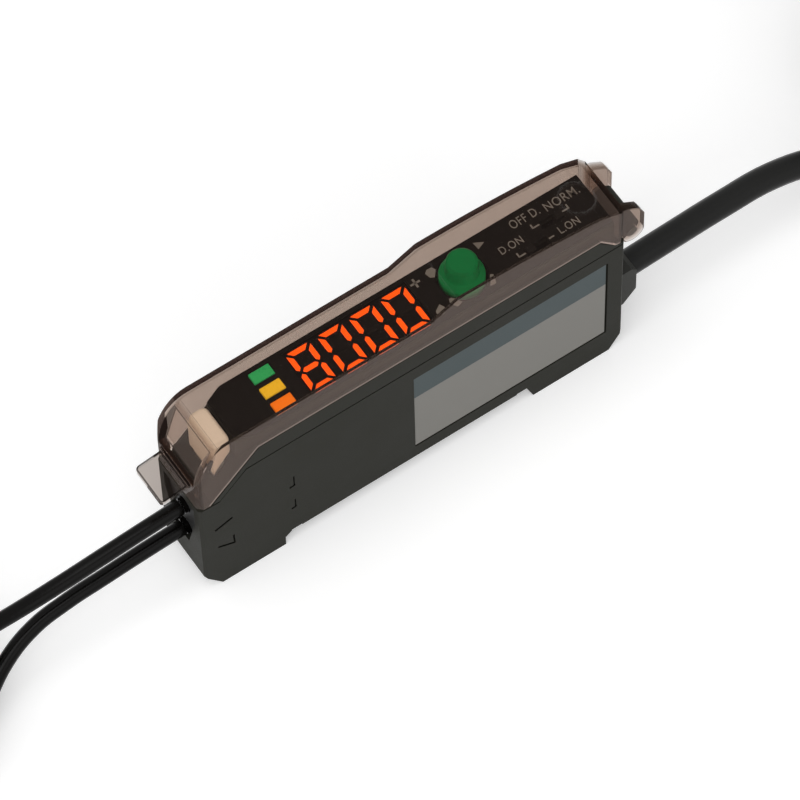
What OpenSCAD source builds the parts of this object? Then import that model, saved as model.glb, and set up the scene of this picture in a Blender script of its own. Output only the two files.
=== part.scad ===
// Fibre optic sensor amplifier for a 35 mm rail: a slim case with a panel under a smoky hinged cover,
// two plastic fibres clamped in one end and a power cable in the other.
// Millimetres. X runs from the fibre end to the cable end, Y across the width, Z up from the feet.

/* [Case] */
// Length of the case, without the cover's tab and hinge
body_l = 65; // [60:0.5:75]
// Width of the case
body_w = 9.8; // [9.2:0.1:12]
// Height of the joint line between case and upper frame
case_h = 25.5; // [24.5:0.1:28]
// Wall of the lower case
case_wall = 1.2; // [0.9:0.1:1.4]
// Length of the slanted cut under the fibre end
fibre_toe_l = 2.5; // [1.5:0.1:4]
// Height of the slanted cut under the fibre end
fibre_toe_h = 3.7; // [2.5:0.1:5]
// Length of the slanted cut under the cable end
cable_toe_l = 2.1; // [1.5:0.1:4]
// Height of the slanted cut under the cable end
cable_toe_h = 3.15; // [2:0.05:4]
// Small chamfer on the upright corners of the case
case_corner = 0.35; // [0.2:0.05:0.6]
// How far the joint line drops at the fibre end
line_drop = 4.2; // [3:0.1:5]

/* [Rail slot] */
// Width of the rail that the case clips to
rail_w = 35; // [34:0.5:36]
// Play of the rail along the slot
rail_play = 1.6; // [1:0.1:2.4]
// Depth of the slot above the feet
rail_depth = 2.66; // [2.2:0.02:3.4]
// Distance from the fibre end to the slot
slot_start = 12.2; // [11:0.1:14]
// Thickness of the two claws under the rail
claw_t = 1; // [0.8:0.1:1.2]
// How far each claw reaches under the rail
claw_reach = 1.2; // [0.8:0.1:2]
// Width of the claws
claw_w = 6; // [4:0.5:7]

/* [Upper frame] */
// Height of the strip of the frame that shows below the cover
strip_h = 3.65; // [3:0.05:4.5]
// Open groove along the joint line
line_gap = 0.25; // [0.15:0.05:0.4]
// Height of the deck above the joint line
deck_rise = 5.5; // [5:0.1:6.5]
// Thickness of the deck
deck_t = 0.8; // [0.6:0.05:1]
// Wall of the frame behind the strip
frame_wall = 1.4; // [1.2:0.05:1.6]

/* [Panel] */
// Thickness of the panel sheet on the deck
panel_t = 0.5; // [0.4:0.05:0.7]
// Length of an indicator lens
lens_l = 3; // [2.4:0.1:3.4]
// Width of an indicator lens
lens_w = 1.7; // [1.3:0.1:1.9]
// Distance between the indicator lenses
lens_pitch = 2.5; // [2.2:0.05:2.6]
// Middle of the indicators, from the fibre end
lens_s = 14.65; // [13:0.05:15]
// Middle of the four digits, from the fibre end
digits_s = 27.5; // [27:0.1:28]
// Distance between digits
digit_pitch = 4.75; // [4.5:0.05:4.8]
// Width of a digit
digit_w = 3.6; // [3:0.1:3.7]
// Height of a digit
digit_h = 6.3; // [5.6:0.1:6.4]
// Width of one bar of a digit
bar_w = 0.66; // [0.5:0.02:0.9]
// Thickness of the tinted window over the digits
window_t = 0.25; // [0.2:0.05:0.3]

/* [Jog knob] */
// How far the knob's axis lies off the middle between display and switches
knob_off = -0.76; // [-1:0.02:1]
// Diameter of the knob's round top
knob_d = 4.4; // [3.6:0.1:4.6]
// Diameter of the knob's round foot
knob_foot = 6; // [5.4:0.1:6.2]
// Height of the knob's top above the panel
knob_rise = 3.7; // [3:0.1:3.8]
// Travel of the knob when it is pressed
knob_travel = 0.5; // [0.3:0.1:0.6]

/* [Slide switches] */
// Length of a switch slot
slot_l = 3.4; // [3:0.1:3.8]
// Width of a switch slot
slot_w = 1.2; // [1:0.05:1.3]
// Travel of a switch slider
slide_travel = 2; // [1.6:0.1:2.2]
// Middle of the mode switch, from the cable end
mode_back = 11.5; // [11:0.1:12]
// Middle of the timer switch, from the cable end
timer_back = 7.8; // [7.2:0.1:8]
// Middle of the mode switch across the width
mode_y = -1.85; // [-2:0.05:-1.75]
// Middle of the timer switch across the width
timer_y = 0.35; // [0.3:0.05:0.6]

/* [Cover] */
// Wall of the cover
cover_wall = 0.7; // [0.6:0.05:0.8]
// Running gap between cover and frame
cover_gap = 0.15; // [0.1:0.01:0.2]
// Height of the cover's low roof over the panel
low_room = 2.9; // [2.5:0.1:3.5]
// Height of the cover's high roof over the panel
high_room = 4.8; // [4.8:0.1:5.5]
// Length of the rounded nose at the fibre end
nose_l = 5; // [4.6:0.1:6]
// Height of the rounded nose
nose_h = 8.1; // [7:0.1:9]
// Start of the ramp between the two roofs, from the fibre end
ramp_s = 35.3; // [34:0.1:37]
// Length of the ramp
ramp_l = 4.1; // [3:0.1:5]
// Radius of the gentle crown of the high roof
crown_r = 141; // [120:1:180]
// Chamfer on the upright corners of the cover
cover_corner = 0.7; // [0.4:0.05:0.8]
// How far the finger tab reaches past the fibre end
tab_reach = 4.2; // [3:0.1:6]
// Width of the finger tab
tab_w = 6.2; // [4:0.1:7]
// Thickness of the finger tab
tab_t = 0.8; // [0.6:0.05:1]

/* [Cover hinge] */
// Distance of the hinge pivot from the cable end
pivot_out = 1.75; // [1.7:0.05:2.2]
// Radius of the hinge lugs round the pivot
lug_r = 1.65; // [1.5:0.05:1.68]
// Thickness of a hinge lug
lug_t = 1.2; // [1:0.05:1.3]
// Gap between the lugs
lug_gap = 6; // [5:0.1:6]
// Height of the lugs above the pivot
lug_rise = 6.9; // [6:0.1:7.5]
// Radius of the hinge barrel on the case
barrel_r = 1.5; // [1.3:0.05:1.6]
// Radius of the hinge pins at the ends of the barrel
pin_r = 0.8; // [0.6:0.05:0.9]
// Running clearance of the hinge pins
pin_clear = 0.05; // [0.03:0.01:0.08]

/* [Fibres] */
// Diameter of a fibre
fibre_d = 2.2; // [1.8:0.1:2.3]
// Height of the lower fibre
fibre_z = 10.2; // [10:0.1:11]
// Distance between the two fibres
fibre_pitch = 5.5; // [5.5:0.1:6]
// Length of fibre inside the case
fibre_depth = 15; // [14.5:0.1:15.5]
// Travel of the fibre lock when it is pressed
lock_travel = 1.5; // [1:0.1:1.6]
// Length of the lock button
lock_l = 2.9; // [2.4:0.1:3]
// Width of the lock button
lock_w = 5.9; // [5:0.1:6.2]

/* [Power cable] */
// Diameter of the power cable
cable_d = 3.7; // [3.4:0.1:4]
// Height of the power cable where it leaves the case
cable_z = 9.5; // [9:0.1:11]
// How far the cable bush stands out of the case
bush_reach = 3.6; // [3.4:0.1:5]
// Width of the cable bush
bush_w = 5.6; // [5.2:0.1:6]

/* [Hidden] */
$fn = 48;

// Snug fit, loose fit, and how far a cut runs past a face
fine = 0.05;
slip = 0.1;
past = 1;

reach = max(bush_reach, pivot_out + lug_r);
fibre_end_x = -(body_l + reach - tab_reach) / 2;

half_w = body_w / 2;
deck_z = case_h + deck_rise;
panel_z = deck_z + panel_t;
board_t = 0.8;
board_rest = 1.5;
board_z = case_h + board_rest + board_t;
strip_z = case_h + strip_h;
inset_w = half_w - cover_wall - slip;
room_w = half_w - frame_wall;
lock_s = 3.6;
lock_end = lock_s + lock_l;
lock_room = 0.25;
deck_start = lock_end + lock_room;
deck_taper_l = 2.55;
deck_taper_w = lock_w / 2 + slip;
deck_end_gap = 1.4;
deck_end = body_l - deck_end_gap;

// The joint line runs level, then slants down to the fibre end
line_level_s = 7.24;
line_low_s = 3;
line_low_z = case_h - line_drop;

slot_step = 1;
slot_step_h = 0.8;
clip_room = 2.1;
slot_end = slot_start + rail_w + rail_play + clip_room;

// Gap between a cord's free length and the piece that carries it on
cord_gap = 0.15;

upper_z = fibre_z + fibre_pitch;
mouth_lip = 0.35;
mouth_low = fibre_d / 2 + mouth_lip;
mouth_half = half_w - case_wall - 2 * slip;
mouth_foot = fibre_z - mouth_low;
mouth_turn = upper_z + fibre_d / 3;
holder_w = body_w - 2 * case_wall - slip;
clamp_s = 4;
clamp_l = 1.6;
clamp_w = 4.4;
clamp_floor = 1.5;
clamp_foot_z = fibre_z - fibre_d / 2 - clamp_floor;
spring_h = 3;

pivot_s = body_l + pivot_out;
pivot_z = case_h - slip;
barrel_half = lug_gap / 2 - slip;
lug_skin = 0.3;
pin_half = lug_gap / 2 + lug_t - lug_skin;

low_z = panel_z + low_room;
high_z = panel_z + high_room;
nose_z = low_z - nose_h;
crest_run = 1.6;
crest_s = ramp_s + ramp_l + crest_run;
fall_l = 3.4;
fall_h = 3.05;
break_s = body_l - fall_l;
fall_z = high_z - fall_h;
edge_z = strip_z + cover_gap;
foot_z = line_low_z + 2 * cover_gap;
edge_turn_s = 9.2;
edge_low_s = 1.6;

display_side = 0.3;
display_l = 3 * digit_pitch + digit_w + 2 * display_side;
display_edge = 0.25;
display_w = digit_h + 2 * display_edge;
knob_play = 0.35;
knob_hole = knob_foot + 2 * knob_play;
switch_end = 0.6;
switch_side = 0.3;
switch_case_l = slot_l + 2 * switch_end;
switch_case_w = slot_w + 2 * switch_side;
mode_s = body_l - mode_back;
timer_s = body_l - timer_back;
knob_s = (digits_s + display_l / 2 + mode_s - switch_case_l / 2) / 2 + knob_off;

// Shared shapes

module at_fibre_end() {
    translate([fibre_end_x, 0, 0]) children();
}

module side_plate(outline, half) {
    rotate([90, 0, 0]) linear_extrude(2 * half, center = true) polygon(outline);
}

module block(s, y, z) {
    translate([s[0], y[0], z[0]]) cube([s[1] - s[0], y[1] - y[0], z[1] - z[0]]);
}

module along_x(s, r, z) {
    translate([s[0], 0, z]) rotate([0, 90, 0]) cylinder(r = r, h = s[1] - s[0]);
}

module along_y(s, z, r, half) {
    translate([s, 0, z]) rotate([90, 0, 0]) cylinder(r = r, h = 2 * half, center = true);
}

// Plan of a part with chamfered upright corners
module plan_prism(start, end, half, corner, height) {
    linear_extrude(height)
        polygon([[start, corner - half], [start + corner, -half], [end - corner, -half],
            [end, corner - half], [end, half - corner], [end - corner, half],
            [start + corner, half], [start, half - corner]]);
}

// Mouth for both fibres, wide at the top and narrow round the lower fibre, less a clearance all round
module fibre_mouth(s, clear) {
    half = mouth_half - clear;
    low = mouth_low - clear;
    translate([s[0], 0, 0]) rotate([90, 0, 90]) linear_extrude(s[1] - s[0])
        polygon([[-low, mouth_foot + clear], [low, mouth_foot + clear], [half, mouth_turn],
            [half, mouth_top - clear], [-half, mouth_top - clear], [-half, mouth_turn]]);
}

// Tube swept along a route, eight sides
function unit(v) = v / norm(v);
function heading(p, i) = unit(p[min(i + 1, len(p) - 1)] - p[max(i - 1, 0)]);
function across(d) = unit(cross(d, abs(d[2]) > 0.9 ? [1, 0, 0] : [0, 0, 1]));
function tube_ring(c, d, r, n) = [for (k = [0 : n - 1])
    c + r * cos(360 * k / n) * across(d) + r * sin(360 * k / n) * cross(across(d), d)];

module tube(route, r, n = 8) {
    last = len(route) - 1;
    polyhedron(
        [for (i = [0 : last]) each tube_ring(route[i], heading(route, i), r, n)],
        concat(
            [[for (k = [0 : n - 1]) k]],
            [for (i = [0 : last - 1]) for (k = [0 : n - 1])
                [i * n + k, (i + 1) * n + k, (i + 1) * n + (k + 1) % n, i * n + (k + 1) % n]],
            [[for (k = [n - 1 : -1 : 0]) last * n + k]]));
}

// Lower case with rail slot and hinge barrel

case_outline = [
    [0, fibre_toe_h], [fibre_toe_l, 0], [slot_start, 0], [slot_start, rail_depth - slot_step_h],
    [slot_start + slot_step, rail_depth], [slot_end - slot_step, rail_depth], [slot_end, 0],
    [body_l - cable_toe_l, 0], [body_l, cable_toe_h], [body_l, case_h],
    [line_level_s, case_h], [line_low_s, line_low_z - slip], [0, line_low_z + slip]];

toe_in = case_wall / 2;
room_floor = rail_depth + case_wall;
case_room = [
    [case_wall, fibre_toe_h + toe_in], [fibre_toe_l + toe_in, case_wall],
    [slot_start - case_wall, case_wall], [slot_start - case_wall, room_floor],
    [slot_end + case_wall, room_floor], [slot_end + case_wall, case_wall],
    [body_l - cable_toe_l - toe_in, case_wall], [body_l - case_wall, cable_toe_h + toe_in],
    [body_l - case_wall, case_h + past], [case_wall, case_h + past]];

// Ends of the two claws, and the groove above each for the edge of the rail
claw_gap = 0.4;
claw_nose = 0.3;
claw_ends = [slot_start + slot_step + claw_reach, slot_end - slot_step - claw_reach];
seat_start = claw_ends[0] + claw_gap;
seat_end = claw_ends[1] - claw_gap;

// Label recess in the near face: from, to, bottom, top, depth
label_s = [32.4, 62.1];
label_z = [5.5, 22.9];
label_gap = 0.3;
label_t = 0.25;

// Slits round the fibre catches in both faces: from, to, width. Level ones lean down into the wall
catch_slits = [
    [[2.2, 14.6], [4.5, 15.4], 0.36], [[2.4, 9.8], [4.7, 8.65], 0.3], [[4.7, 8.65], [4.65, 10.6], 0.26],
    [[14, 14.2], [14, 16.4], 0.2], [[13.45, 14.1], [14, 14.2], 0.32],
    [[14, 8.5], [14, 10.3], 0.2], [[13.55, 8.4], [14, 8.5], 0.32]];
slit_lean = 35;

module catch_slit(cut) {
    run = cut[1] - cut[0];
    lean = abs(run[0]) > abs(run[1]) ? slit_lean : 0;
    deep = case_wall / cos(lean) + 4 * slip;
    for (side = [-1, 1])
        translate([cut[0][0], side * half_w, cut[0][1]])
            rotate([0, -atan2(run[1], run[0]), 0]) rotate([side * lean, 0, 0])
                translate([norm(run) / 2, side * (2 * slip - deep / 2), 0])
                    cube([norm(run) + cut[2], deep, cut[2]], center = true);
}

module hinge_barrel() {
    gusset_h = 3.8;
    along_y(pivot_s, pivot_z, barrel_r, barrel_half);
    along_y(pivot_s, pivot_z, pin_r, pin_half);
    side_plate([[body_l - case_wall / 2, pivot_z - gusset_h], [pivot_s, pivot_z - barrel_r],
        [pivot_s, pivot_z], [body_l - case_wall / 2, pivot_z]], barrel_half);
}

module claw(root, end) {
    back = sign(root - end) * claw_nose;
    side_plate([[root, 0], [end, 0], [end, claw_t - claw_nose], [end + back, claw_t], [root, claw_t]],
        claw_w / 2);
}

module lower_case() {
    color("#3b3b38") at_fibre_end() difference() {
        union() {
            intersection() {
                side_plate(case_outline, half_w);
                plan_prism(0, body_l, half_w, case_corner, case_h + past);
            }
            claw(slot_start - past, claw_ends[0]);
            claw(slot_end + past, claw_ends[1]);
            hinge_barrel();
        }
        side_plate(case_room, half_w - case_wall);
        for (s = [[slot_start + slot_step, seat_start], [seat_end, slot_end - slot_step]])
            block(s, [-half_w - past, half_w + past], [rail_depth - past, rail_depth + 2 * slip]);
        fibre_mouth([-past, case_wall + past], 0);
        block([body_l - case_wall - past, body_l + slip], [-bush_neck_w / 2, bush_neck_w / 2],
            [cable_z - bush_neck_h / 2, cable_z + bush_neck_h / 2]);
        block([label_s[0], label_s[1] + label_gap], [-half_w - past, label_t + slip / 2 - half_w],
            [label_z[0] - label_gap, label_z[1]]);
        for (cut = catch_slits) catch_slit(cut);
    }
}

// Upper frame and panel

strip_start = edge_low_s + 0.4;
strip_tail = 0.55;
edge_drop_l = 4;
strip_outline = [
    [strip_start, line_low_z + line_gap], [line_low_s + slip, line_low_z + line_gap - slip],
    [line_level_s, case_h + line_gap], [body_l, case_h + line_gap], [body_l, case_h + strip_tail],
    [deck_end, case_h + strip_tail + 2 * slip], [body_l - edge_drop_l, strip_z],
    [edge_turn_s + cover_gap, strip_z]];

stem_play = 0.15;
stem_slot = [clamp_s - stem_play, clamp_s + clamp_l + stem_play];
stem_half = clamp_w / 2 + stem_play;
room_s = [deck_start + deck_taper_l + slip, body_l - 2 * case_wall - 2 * slip];
rim_in = 0.5;

// Openings of the deck and the panel, seen from above, each grown by a clearance
module panel_openings(clear) {
    for (row = [-1 : 1])
        translate([lens_s, row * lens_pitch]) square([lens_l, lens_w] + 2 * [clear, clear], center = true);
    translate([digits_s, 0]) square([display_l, display_w] + 2 * [clear, clear], center = true);
    translate([knob_s, 0]) circle(d = knob_hole);
    translate([mode_s, mode_y]) square([slot_l, slot_w], center = true);
    translate([timer_s, timer_y]) square([slot_l, slot_w], center = true);
}

// Deck from above: its end narrows beside the lock button
module deck_outline(in_s, in_y) {
    square_s = deck_start + deck_taper_l;
    polygon([[deck_start + in_s, in_y - deck_taper_w], [square_s, in_y - inset_w],
        [deck_end - in_s, in_y - inset_w], [deck_end - in_s, inset_w - in_y], [square_s, inset_w - in_y],
        [deck_start + in_s, deck_taper_w - in_y]]);
}

module upper_frame() {
    color("#3f3f3c") at_fibre_end() difference() {
        union() {
            intersection() {
                side_plate(strip_outline, half_w);
                plan_prism(0, body_l, half_w, case_corner, deck_z);
            }
            block([line_level_s + rim_in, body_l - rim_in], [rim_in - half_w, half_w - rim_in],
                [case_h, case_h + line_gap + slip]);
            translate([0, 0, case_h + past]) linear_extrude(deck_rise - past) deck_outline(0, 0);
        }
        block(room_s, [-room_w, room_w], [case_h - past, deck_z - deck_t]);
        block(stem_slot, [-stem_half, stem_half], [line_low_z - past, deck_z + past]);
        translate([0, 0, board_z]) linear_extrude(deck_z + slip - board_z) panel_openings(slip);
    }
}

module panel_sheet() {
    color("#1d1d1c") at_fibre_end() translate([0, 0, deck_z]) linear_extrude(panel_t) difference() {
        deck_outline(slip, fine);
        panel_openings(slip);
    }
}

// Display

window_lip = 0.2;
bar_t = 0.15;
display_top = panel_z - window_t - window_lip;

module display_window() {
    color("#2a1a16", 0.6) at_fibre_end() translate([digits_s, 0, 0]) difference() {
        translate([-display_l / 2, -display_w / 2, display_top])
            cube([display_l, display_w, panel_z - display_top]);
        translate([window_lip - display_l / 2, window_lip - display_w / 2, display_top - slip])
            cube([display_l - 2 * window_lip, display_w - 2 * window_lip, window_lip + slip]);
    }
}

module display_module() {
    color("#161616") at_fibre_end()
        block([digits_s - display_l / 2, digits_s + display_l / 2], [-display_w / 2, display_w / 2],
            [board_z, display_top]);
}

// Bars of a digit: mitred at the corners, pointed at the middle, with a gap between neighbours
bar_gap = 0.34;
bar_mid = 0.28;

module far_bar() {
    outer = digit_w / 2 - bar_gap;
    polygon([[-outer, digit_h / 2], [outer, digit_h / 2], [outer - bar_w, digit_h / 2 - bar_w],
        [bar_w - outer, digit_h / 2 - bar_w]]);
}

module side_bar() {
    outer = -digit_w / 2;
    top = digit_h / 2 - bar_gap;
    foot = bar_mid;
    polygon([[outer, top], [outer + bar_w, top - bar_w], [outer + bar_w, foot + bar_w / 2],
        [outer + bar_w / 2, foot], [outer, foot + bar_w / 2]]);
}

module middle_bar() {
    tip = digit_w / 2 - bar_w / 2 - bar_gap;
    flat = tip - bar_w / 2;
    polygon([[-tip, 0], [-flat, bar_w / 2], [flat, bar_w / 2], [tip, 0], [flat, -bar_w / 2],
        [-flat, -bar_w / 2]]);
}

// The seven bars of a digit, numbered a to g as 0 to 6
module digit_bar(index) {
    if (index == 0) far_bar();
    if (index == 1) mirror([1, 0]) side_bar();
    if (index == 2) mirror([1, 0]) mirror([0, 1]) side_bar();
    if (index == 3) mirror([0, 1]) far_bar();
    if (index == 4) mirror([0, 1]) side_bar();
    if (index == 5) side_bar();
    if (index == 6) middle_bar();
}

// Every bar that the reading 8000 lights, or every other bar
module bars(lit) {
    reading = [8, 0, 0, 0];
    for (place = [0 : 3])
        for (index = [0 : 6])
            if ((index < 6 || reading[place] == 8) == lit)
                translate([digits_s + (place - 1.5) * digit_pitch, 0, display_top])
                    linear_extrude(bar_t) digit_bar(index);
}

module digit_bars() {
    color("#ff6414") at_fibre_end() bars(true);
}

module unlit_bars() {
    color("#4a4038") at_fibre_end() bars(false);
}

// Light guide of one indicator, from its board to just above the panel
module indicator(row) {
    at_fibre_end() translate([lens_s, row * lens_pitch, board_z])
        linear_extrude(panel_z + fine - board_z) square([lens_l, lens_w], center = true);
}

module indicator_green() { color("#34a85a") indicator(1); }
module indicator_yellow() { color("#e8b42d") indicator(0); }
module indicator_orange() { color("#ff8c00") indicator(-1); }

// Boards and what is soldered to them

board_gap = 0.4;
board_floor = room_floor + slip;
main_board_s = [fibre_depth + 5.2, body_l - 8];
main_board_t = 1.6;
main_board_top = case_h - 1;
board_face = main_board_t / 2;
chip_t = 1.3;

module display_board() {
    color("#2f5d3a") at_fibre_end()
        block([room_s[0] + board_gap, room_s[1] - board_gap], [slip - room_w, room_w - slip],
            [board_z - board_t, board_z]);
}

module main_board() {
    color("#2f5d3a") at_fibre_end()
        block(main_board_s, [-board_face, board_face], [board_floor, main_board_top]);
}

// Socket strip with a row of openings in its near face
module board_header() {
    pins = 5;
    pin_pitch = 2.2;
    pin_w = 0.6;
    strip_half = 1.3;
    strip_end = main_board_s[1] - 2;
    strip_s = [strip_end - (pins + 0.5) * pin_pitch, strip_end];
    color("#202020") at_fibre_end() difference() {
        block(strip_s, [-strip_half, strip_half], [main_board_top, board_z - board_t]);
        for (pin = [1 : pins])
            translate([strip_s[0] + pin * pin_pitch - pin_w, 0, 0])
                block([0, pin_w], [-strip_half - slip, board_gap - strip_half],
                    [main_board_top + board_gap, board_z - board_t - board_gap]);
    }
}

// Flat component on one face of the main board: side, corner on the board, length and height
module on_board(side, corner, size) {
    s = main_board_s[0] + corner[0];
    z = board_floor + corner[1];
    y = side > 0 ? [board_face, board_face + chip_t] : [-board_face - chip_t, -board_face];
    block([s, s + size[0]], y, [z, z + size[1]]);
}

module controller_chip() { color("#222222") at_fibre_end() on_board(-1, [9, 6], [8, 8]); }
module supply_capacitor() { color("#5a4a2a") at_fibre_end() on_board(1, [21, 5], [4, 3]); }
module output_transistor() { color("#222222") at_fibre_end() on_board(-1, [28, 7], [4, 3]); }

// Jog knob: it tilts on a rocker's pins and presses down on the rocker's post

gimbal_rise = 1.7;
gimbal_z = board_z + gimbal_rise;
ear_t = 0.6;
ear_w = 2;
base_t = 0.8;
base_w = 5.2;
rocker_half = knob_foot / 2 + slip;
rocker_w = 2.4;
rocker_down = 0.4;
rocker_up = 0.5;
rocker_pin_r = 0.35;
pin_hole_r = rocker_pin_r + pin_clear;
post_r = 0.9;
post_rise = 1;
post_top = panel_z + post_rise;
socket_clear = 0.08;

module jog_switch_base() {
    ear_s = rocker_half + slip;
    end_s = ear_s + ear_t;
    color("#202020") at_fibre_end() translate([knob_s, 0, 0]) difference() {
        block([-end_s, end_s], [-base_w / 2, base_w / 2], [board_z, deck_z - deck_t - slip]);
        block([-ear_s, ear_s], [-base_w, base_w], [board_z + base_t, deck_z]);
        for (side = [-1, 1])
            translate([0, side * (base_w + ear_w) / 2, 0])
                block([-end_s - slip, end_s + slip], [-base_w / 2, base_w / 2], [board_z + base_t, deck_z]);
        along_x([-end_s - slip, end_s + slip], pin_hole_r, gimbal_z);
    }
}

module jog_rocker() {
    color("#2a2a2a") at_fibre_end() translate([knob_s, 0, 0]) {
        along_x([-rocker_half - ear_t, rocker_half + ear_t], rocker_pin_r, gimbal_z);
        block([-rocker_half, rocker_half], [-rocker_w / 2, rocker_w / 2],
            [gimbal_z - rocker_down, gimbal_z + rocker_up]);
        translate([0, 0, gimbal_z]) cylinder(r = post_r, h = post_top - gimbal_z);
    }
}

knob_bottom = gimbal_z + rocker_up + knob_travel + slip;
skirt_rise = 0.6;
skirt_edge = 0.25;
drum_start = 1.3;
drum_draft = 0.1;
knob_edge = 0.3;

// Round foot with a sloping shoulder, and a drum with a chamfered rim
module jog_knob() {
    foot_r = knob_foot / 2;
    drum_r = knob_d / 2;
    top_z = panel_z + knob_rise;
    color("#00733a") at_fibre_end() translate([knob_s, 0, 0]) difference() {
        rotate_extrude() polygon([[0, knob_bottom], [foot_r, knob_bottom], [foot_r, panel_z + skirt_rise],
            [foot_r - skirt_edge, panel_z + skirt_rise + skirt_edge], [drum_r, panel_z + drum_start],
            [drum_r - drum_draft, top_z - knob_edge], [drum_r - drum_draft - knob_edge, top_z], [0, top_z]]);
        translate([0, 0, knob_bottom - slip])
            cylinder(r = post_r + socket_clear, h = post_top + knob_travel - knob_bottom + 2 * slip);
    }
}

// Slide switches

switch_case_top = deck_z - deck_t - slip;
groove_depth = 1;
nub_l = slot_l - slide_travel - 2 * slip;
nub_rise = 0.4;

module switch_case(s, y) {
    at_fibre_end() translate([s, y, 0]) difference() {
        block([-switch_case_l / 2, switch_case_l / 2], [-switch_case_w / 2, switch_case_w / 2],
            [board_z, switch_case_top]);
        block([-slot_l / 2, slot_l / 2], [-slot_w / 2, slot_w / 2],
            [switch_case_top - groove_depth, switch_case_top + slip]);
    }
}

// The slider rests at one end of its slot: -1 towards the fibres, 1 towards the cable
module slider(s, y, end) {
    at_fibre_end() translate([s + end * slide_travel / 2, y, 0])
        block([-nub_l / 2, nub_l / 2], [slip - slot_w / 2, slot_w / 2 - slip],
            [switch_case_top - groove_depth + fine, panel_z + nub_rise]);
}

module mode_switch_case() { color("#242424") switch_case(mode_s, mode_y); }
module timer_switch_case() { color("#242424") switch_case(timer_s, timer_y); }
module mode_slider() { color("#101010") slider(mode_s, mode_y, -1); }
module timer_slider() { color("#101010") slider(timer_s, timer_y, 1); }

// Fibre holder, lock and diodes

holder_top = 3.4;
holder_z = [room_floor + fine, upper_z + fibre_d / 2 + holder_top];
toe_top = fibre_toe_h + toe_in;
toe_back = max(0, toe_top - holder_z[0]) * (fibre_toe_l + toe_in - case_wall) / (toe_top - case_wall);
diode_grip = 1.2;
holder_s = [case_wall + slip + toe_back, fibre_depth + diode_grip];
mouth_s = 0.7;
mouth_top = min(holder_z[1] - 2 * slip, line_low_z - case_wall);
funnel_l = 0.8;
funnel_lip = 0.2;
diode_r = 1.5;
diode_l = 3;
diode_rim = 0.35;
diode_rim_l = 0.8;
diode_leg_l = 2.5;
pocket_z = clamp_foot_z - spring_h;
lock_drop = 0.2;
lock_top = panel_z - lock_drop;

module fibre_holder() {
    color("#2b2b2b") at_fibre_end() difference() {
        union() {
            block(holder_s, [-holder_w / 2, holder_w / 2], holder_z);
            fibre_mouth([mouth_s, holder_s[0] + past], fine);
        }
        for (z = [fibre_z, upper_z]) {
            along_x([-past, holder_s[1] + past], fibre_d / 2 + fine, z);
            translate([mouth_s - slip, 0, z]) rotate([0, 90, 0])
                cylinder(r1 = fibre_d / 2 + funnel_lip, r2 = fibre_d / 2 + fine, h = funnel_l);
            along_x([fibre_depth, holder_s[1] + past], diode_r + fine, z);
        }
        block(stem_slot, [-stem_half, stem_half], [pocket_z, holder_z[1] + past]);
    }
}

module fibre_tips() {
    color("#101010") at_fibre_end()
        for (z = [fibre_z, upper_z]) along_x([cord_gap, fibre_depth - slip], fibre_d / 2, z);
}

// Diode in a round can, its legs on both faces of the main board
module diode(z) {
    leg_r = 0.25;
    base_s = fibre_depth + diode_l;
    at_fibre_end() {
        along_x([fibre_depth + slip, base_s], diode_r, z);
        along_x([base_s, base_s + diode_rim_l], diode_r + diode_rim, z);
        for (side = [-1, 1])
            translate([0, side * (board_face + leg_r + fine / 2), 0])
                along_x([base_s + diode_rim_l, main_board_s[0] + diode_leg_l], leg_r, z);
    }
}

module emitter_diode() { color("#c9c4b8") diode(upper_z); }
module receiver_diode() { color("#8d8f95") diode(fibre_z); }

lock_clear = 0.3;
lock_edge = 0.35;
lock_corner = 0.8;
lock_grip = 0.8;
lock_skew = (strip_z - line_low_z) / (edge_turn_s - strip_start);
lock_foot = line_low_z + line_gap + lock_skew * (lock_s - strip_start) + lock_travel + lock_clear;
clamp_top = lock_foot + lock_skew * lock_l + lock_grip;

module lock_button() {
    color("#d7be9f") at_fibre_end() difference() {
        intersection() {
            side_plate([[lock_s, lock_foot], [lock_end, lock_foot + lock_skew * lock_l],
                [lock_end, lock_top - lock_edge], [lock_end - lock_edge, lock_top],
                [lock_s + lock_edge, lock_top], [lock_s, lock_top - lock_edge]], lock_w / 2);
            linear_extrude(lock_top + past) {
                translate([lock_s + lock_corner, -lock_w / 2]) square([lock_l - 2 * lock_corner, lock_w]);
                translate([lock_s, lock_corner - lock_w / 2]) square([lock_l, lock_w - 2 * lock_corner]);
                for (s = [lock_s + lock_corner, lock_end - lock_corner])
                    for (side = [-1, 1]) translate([s, side * (lock_w / 2 - lock_corner)]) circle(lock_corner);
            }
        }
        block([clamp_s, clamp_s + clamp_l], [-clamp_w / 2, clamp_w / 2], [0, clamp_top]);
    }
}

module fibre_clamp() {
    color("#8a8a84") at_fibre_end() difference() {
        block([clamp_s, clamp_s + clamp_l], [-clamp_w / 2, clamp_w / 2], [clamp_foot_z, clamp_top]);
        for (z = [fibre_z, upper_z]) {
            along_x([clamp_s - past, clamp_s + clamp_l + past], fibre_d / 2 + slip, z);
            along_x([clamp_s - past, clamp_s + clamp_l + past], fibre_d / 2 + slip, z + lock_travel);
            block([clamp_s - past, clamp_s + clamp_l + past], [-fibre_d / 2 - slip, fibre_d / 2 + slip],
                [z, z + lock_travel]);
        }
    }
}

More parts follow.
